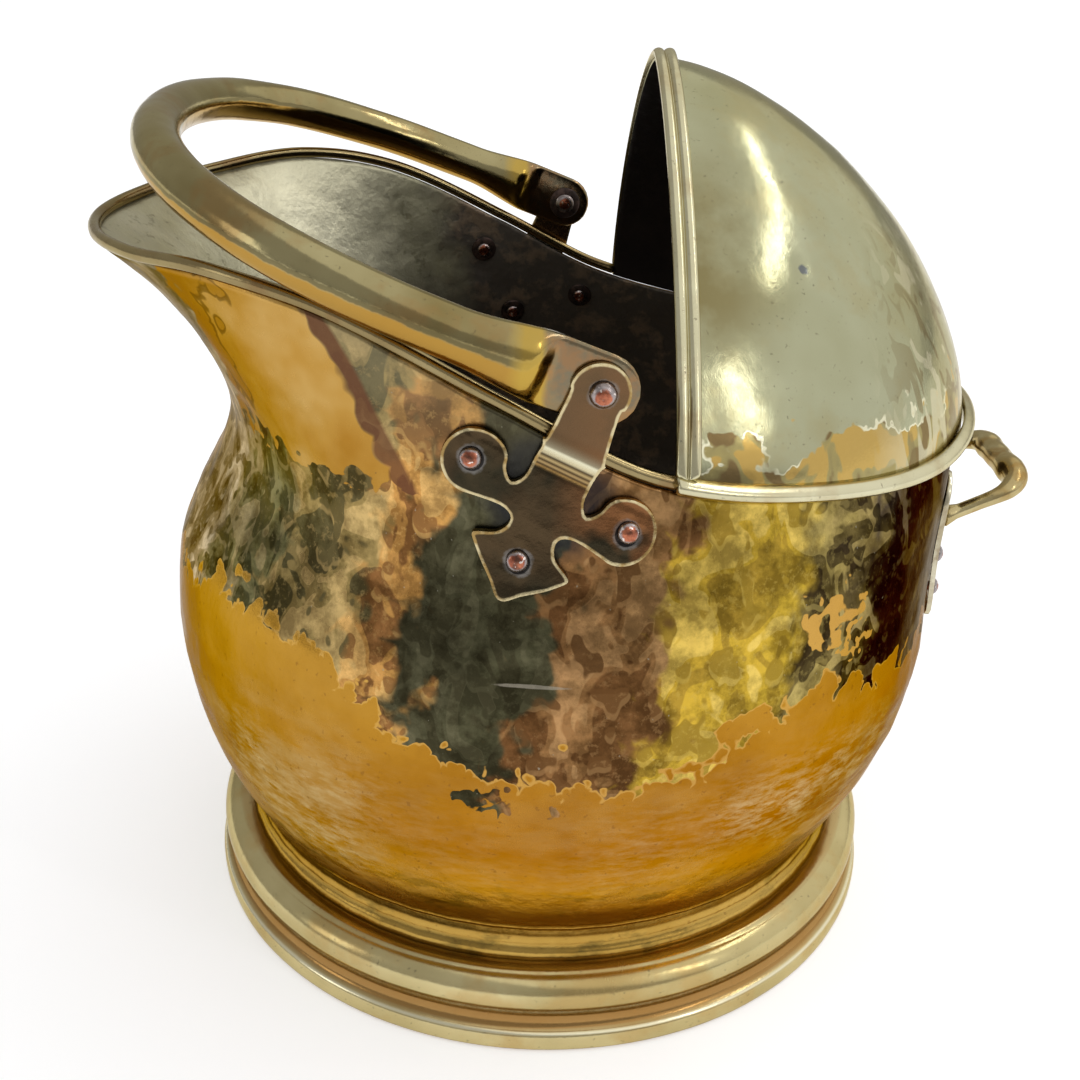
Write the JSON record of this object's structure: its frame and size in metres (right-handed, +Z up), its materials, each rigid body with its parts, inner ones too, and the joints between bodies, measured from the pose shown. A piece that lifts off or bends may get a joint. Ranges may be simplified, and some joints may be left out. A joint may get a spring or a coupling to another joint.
{
  "type": "coal scuttle",
  "caption": "Brass helmet-shaped coal scuttle with a hammered round body, pouring spout, half hood, rolled round foot, swinging bail handle and a rear tipping grip.",
  "frame": {"origin": "on the floor, under the middle of the scuttle's overall length and width; the round foot's centre lies 10.5 mm from it towards the spout", "axes": "+Z up; the spout pours towards -X; the hood and the rear grip are towards +X; the bail's hinge line runs along Y"},
  "size_m": [0.39, 0.3304, 0.3629],
  "materials": {
    "hammered_brass": "old polished sheet brass, lightly hammered, tarnished in patches",
    "hood_brass": "pale smooth polished brass, sooty inside",
    "smooth_brass": "pale smooth polished brass",
    "cast_brass": "cast brass, worn bright on the high spots",
    "plate_brass": "brown tarnished brass plate with bright worn edges",
    "floor_brass": "sooty sheet brass",
    "copper": "copper rivets and washers, slightly tarnished"
  },
  "bodies": {
    "scuttle_body": {"bail_pivot_rivet_far": "copper", "bail_pivot_rivet_near": "copper", "bail_pivot_washer_far": "copper", "bail_pivot_washer_near": "copper", "body_shell": "hammered_brass", "bracket_far": "plate_brass", "bracket_near": "plate_brass", "bracket_rivet_far_front": "copper", "bracket_rivet_far_lower": "copper", "bracket_rivet_far_rear": "copper", "bracket_rivet_near_front": "copper", "bracket_rivet_near_lower": "copper", "bracket_rivet_near_rear": "copper", "bracket_rove_far_front": "copper", "bracket_rove_far_lower": "copper", "bracket_rove_far_rear": "copper", "bracket_rove_near_front": "copper", "bracket_rove_near_lower": "copper", "bracket_rove_near_rear": "copper", "floor_plate": "floor_brass", "foot_ring": "smooth_brass", "grip_plate_far": "plate_brass", "grip_plate_near": "plate_brass", "grip_rivet_far_lower": "copper", "grip_rivet_far_upper": "copper", "grip_rivet_near_lower": "copper", "grip_rivet_near_upper": "copper", "grip_rove_far_lower": "copper", "grip_rove_far_upper": "copper", "grip_rove_near_lower": "copper", "grip_rove_near_upper": "copper", "hood_base_bead": "smooth_brass", "hood_front_bead": "smooth_brass", "hood_shell": "hood_brass", "rear_grip": "cast_brass", "spout_rim_wire": "smooth_brass"},
    "bail_handle": {"bail": "smooth_brass"}
  },
  "joints": [
    {"name": "bail_hinge", "type": "hinge", "parent": "scuttle_body", "child": "bail_handle", "pos_m": [-0.001, 0, 0.2745], "axis": [0, 1, 0], "range_deg": [0, 168]}
  ]
}
